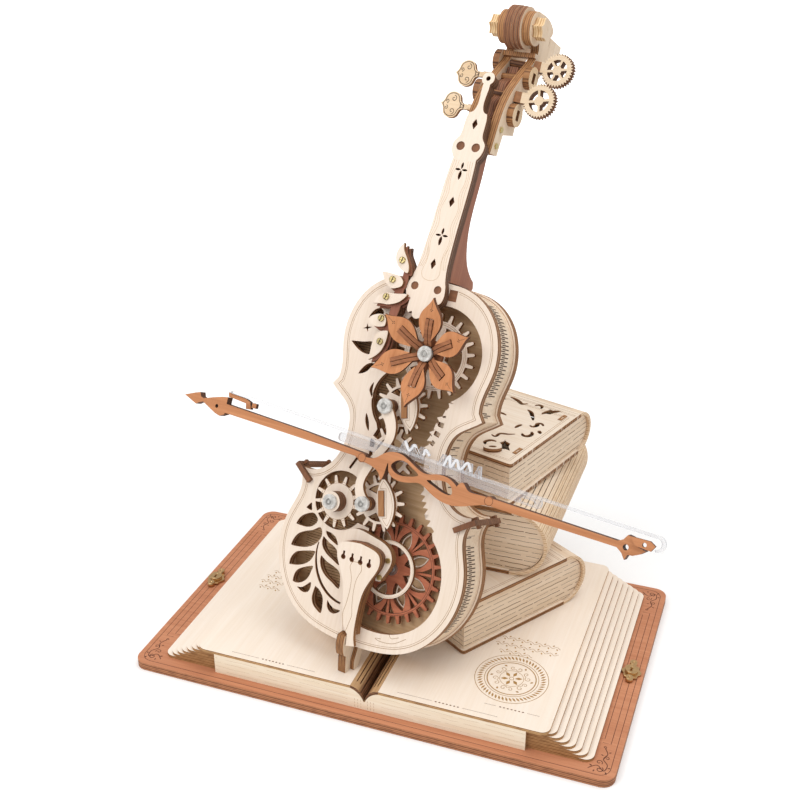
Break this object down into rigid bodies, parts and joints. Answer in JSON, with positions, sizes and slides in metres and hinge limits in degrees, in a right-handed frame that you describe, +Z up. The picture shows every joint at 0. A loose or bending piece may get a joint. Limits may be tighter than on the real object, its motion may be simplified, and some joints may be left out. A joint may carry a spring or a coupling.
{
  "type": "wooden music box",
  "caption": "Laser-cut wooden music box: a cello with an open gear train and moving bow leans on closed books over an open book.",
  "frame": {"origin": "centre of the base board's underside", "axes": "+X along the front edge to the right, +Y from the front edge to the back, +Z up"},
  "size_m": [0.2381, 0.1959, 0.2874],
  "materials": {
    "red_wood": "satin stain, reddish brown",
    "cream_wood": "bare laser-cut plywood, brown cut edges",
    "amber_wood": "satin stain, orange brown",
    "brown_wood": "dark stain and burnt edges",
    "brass": "satin",
    "steel": "bright zinc",
    "clear_plastic": "clear, polished"
  },
  "bodies": {
    "base": {"base_board": "red_wood", "page_panels": "cream_wood", "page_left": "cream_wood", "page_right": "cream_wood", "page_steps": "cream_wood", "gutter_hinge": "cream_wood", "book_low_covers": "cream_wood", "book_low_walls": "cream_wood", "book_low_spine": "cream_wood", "book_mid_covers": "cream_wood", "book_mid_walls": "cream_wood", "book_mid_spine": "cream_wood", "book_top_covers": "cream_wood", "book_top_walls": "cream_wood", "book_top_spine": "cream_wood", "back_plate": "cream_wood", "ribs": "cream_wood", "front_plate": "cream_wood", "lyre_ring": "cream_wood", "tailpiece": "cream_wood", "tail_base": "cream_wood", "fingerboard": "cream_wood", "pegbox_cheeks": "cream_wood", "leaves": "cream_wood", "pegs_left": "cream_wood", "pegs_right": "cream_wood", "endpin": "cream_wood", "scroll_discs": "cream_wood", "scroll_trim": "cream_wood", "mech_plate": "cream_wood", "front_backing": "brown_wood", "corner_ties": "brown_wood", "tail_riser": "brown_wood", "fingerboard_core": "brown_wood", "neck": "brown_wood", "leaf_layers": "brown_wood", "clasps": "brass", "screws": "brass", "movement_frame": "steel"},
    "rosette": {"rosette_gear": "red_wood", "movement_drum": "steel"},
    "crank_low": {"crank_low": "cream_wood", "crank_shaft_low": "cream_wood", "crank_pin_low": "steel"},
    "crank_up": {"crank_up": "cream_wood", "crank_shaft_up": "cream_wood", "crank_pin_up": "steel"},
    "idler": {"idler": "cream_wood"},
    "gear_left": {"gear_left": "cream_wood", "left_hub": "brown_wood"},
    "flower": {"flower_gear": "cream_wood", "flower_petals": "amber_wood", "flower_ribs": "amber_wood", "flower_screw": "steel"},
    "bow": {"link": "cream_wood", "bow": "amber_wood", "bow_carrier": "clear_plastic", "bow_hair": "clear_plastic", "bow_trim": "amber_wood"},
    "key": {"key": "steel"}
  },
  "joints": [
    {"name": "rosette_turn", "type": "hinge", "parent": "base", "child": "rosette", "pos_m": [0.00294, -0.03385, 0.05961], "axis": [-0.1715, -0.8823, 0.4384], "continuous": true},
    {"name": "crank_low_turn", "type": "hinge", "parent": "base", "child": "crank_low", "pos_m": [-0.00563, -0.02702, 0.08824], "axis": [-0.1715, -0.8823, 0.4384], "continuous": true},
    {"name": "idler_turn", "type": "hinge", "parent": "base", "child": "idler", "pos_m": [-0.00376, -0.01738, 0.10838], "axis": [-0.1715, -0.8823, 0.4384], "continuous": true},
    {"name": "crank_up_turn", "type": "hinge", "parent": "base", "child": "crank_up", "pos_m": [-0.00188, -0.00774, 0.12851], "axis": [-0.1715, -0.8823, 0.4384], "continuous": true},
    {"name": "gear_left_turn", "type": "hinge", "parent": "base", "child": "gear_left", "pos_m": [-0.02669, -0.02511, 0.08384], "axis": [-0.1715, -0.8823, 0.4384], "continuous": true},
    {"name": "flower_turn", "type": "hinge", "parent": "base", "child": "flower", "pos_m": [0.009, 0.00501, 0.1493], "axis": [-0.1715, -0.8823, 0.4384], "continuous": true},
    {"name": "bow_turn", "type": "hinge", "parent": "crank_low", "child": "bow", "pos_m": [-0.01148, -0.03203, 0.08956], "axis": [-0.1715, -0.8823, 0.4384], "continuous": true},
    {"name": "key_turn", "type": "hinge", "parent": "base", "child": "key", "pos_m": [-0.01719, -0.01206, 0.05223], "axis": [-0.1715, -0.8823, 0.4384], "continuous": true}
  ],
  "couplings": [
    {"joint": "crank_low_turn", "follows": "rosette_turn", "ratio": -3.625},
    {"joint": "idler_turn", "follows": "rosette_turn", "ratio": 3.625},
    {"joint": "crank_up_turn", "follows": "rosette_turn", "ratio": -3.625},
    {"joint": "gear_left_turn", "follows": "rosette_turn", "ratio": 3.9038},
    {"joint": "flower_turn", "follows": "rosette_turn", "ratio": 1.8125},
    {"joint": "bow_turn", "follows": "rosette_turn", "ratio": 3.625}
  ]
}
